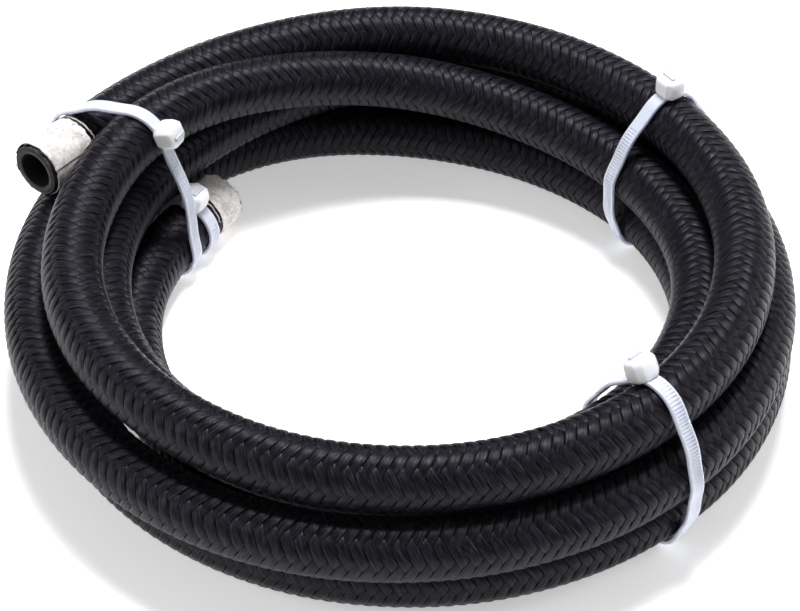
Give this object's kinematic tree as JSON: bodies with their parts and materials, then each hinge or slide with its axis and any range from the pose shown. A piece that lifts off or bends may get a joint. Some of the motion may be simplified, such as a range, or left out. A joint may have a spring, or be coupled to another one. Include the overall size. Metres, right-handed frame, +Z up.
{
  "type": "coiled braided hydraulic hose",
  "caption": "Coil of braided rubber hose with two taped cut open ends, held by moulded nylon cable ties.",
  "frame": {"origin": "middle of the coil's outline on the surface it lies on", "axes": "+Z up along the coil axis, -Y towards the viewer, end 1 opens to -X"},
  "size_m": [0.2285, 0.2348, 0.0607],
  "materials": {
    "liner_rubber": "matt extruded synthetic rubber",
    "tension_braid": "grey polyester yarn braid between liner and cover",
    "nylon_braid": "black nylon multifilament braid, soft sheen",
    "paper_tape": "off-white fibrous paper tape, scuffed",
    "clear_nylon": "natural translucent nylon, moulded"
  },
  "bodies": {
    "hose": {"hose_liner": "liner_rubber", "hose_reinforcement": "tension_braid", "hose_cover_turn_1": "nylon_braid", "hose_cover_turn_2": "nylon_braid", "hose_cover_turn_3": "nylon_braid", "hose_cover_turn_4": "nylon_braid", "hose_cover_turn_5": "nylon_braid", "end_1_liner": "liner_rubber", "end_1_reinforcement": "tension_braid", "end_1_cover": "nylon_braid", "end_2_liner": "liner_rubber", "end_2_reinforcement": "tension_braid", "end_2_cover": "nylon_braid", "end_1_tape": "paper_tape", "end_2_tape": "paper_tape"},
    "tie_a": {"cable_tie_a": "clear_nylon"},
    "tie_b": {"cable_tie_b": "clear_nylon"},
    "tie_c": {"cable_tie_c": "clear_nylon"},
    "tie_d": {"cable_tie_d": "clear_nylon"},
    "pawl_a": {"tie_a_pawl": "clear_nylon"},
    "pawl_b": {"tie_b_pawl": "clear_nylon"},
    "pawl_c": {"tie_c_pawl": "clear_nylon"},
    "pawl_d": {"tie_d_pawl": "clear_nylon"}
  },
  "joints": [
    {"name": "tie_a_slides_round_coil", "type": "hinge", "parent": "hose", "child": "tie_a", "pos_m": [0.0018, -0.0016, 0], "axis": [0, 0, 1], "range_deg": [-0.3, 0.2]},
    {"name": "tie_c_slides_round_coil", "type": "hinge", "parent": "hose", "child": "tie_c", "pos_m": [0.0018, -0.0016, 0], "axis": [0, 0, 1], "range_deg": [-0.7, 0.6]},
    {"name": "tie_d_slides_round_coil", "type": "hinge", "parent": "hose", "child": "tie_d", "pos_m": [0.0018, -0.0016, 0], "axis": [0, 0, 1], "range_deg": [-1.2, 1.2]},
    {"name": "tie_b_slides_on_end_2", "type": "slide", "parent": "hose", "child": "tie_b", "axis": [0.5132, 0.8583, 0], "range_m": [-0.0015, 0.0015]},
    {"name": "tie_a_pawl_release", "type": "hinge", "parent": "tie_a", "child": "pawl_a", "pos_m": [-0.06945, 0.03087, 0.0538], "axis": [-0.4147, -0.91, 0], "range_deg": [0, 8], "stiffness_Nm_per_rad": 0.002},
    {"name": "tie_b_pawl_release", "type": "hinge", "parent": "tie_b", "child": "pawl_b", "pos_m": [-0.06408, 0.04045, 0.0206], "axis": [-0.5132, -0.8583, 0], "range_deg": [0, 8], "stiffness_Nm_per_rad": 0.002},
    {"name": "tie_c_pawl_release", "type": "hinge", "parent": "tie_c", "child": "pawl_c", "pos_m": [0.08133, 0.05104, 0.0549], "axis": [-0.5519, 0.8339, 0], "range_deg": [0, 8], "stiffness_Nm_per_rad": 0.002},
    {"name": "tie_d_pawl_release", "type": "hinge", "parent": "tie_d", "child": "pawl_d", "pos_m": [0.06319, -0.07222, 0.05348], "axis": [0.7547, 0.6561, 0], "range_deg": [0, 8], "stiffness_Nm_per_rad": 0.002}
  ]
}
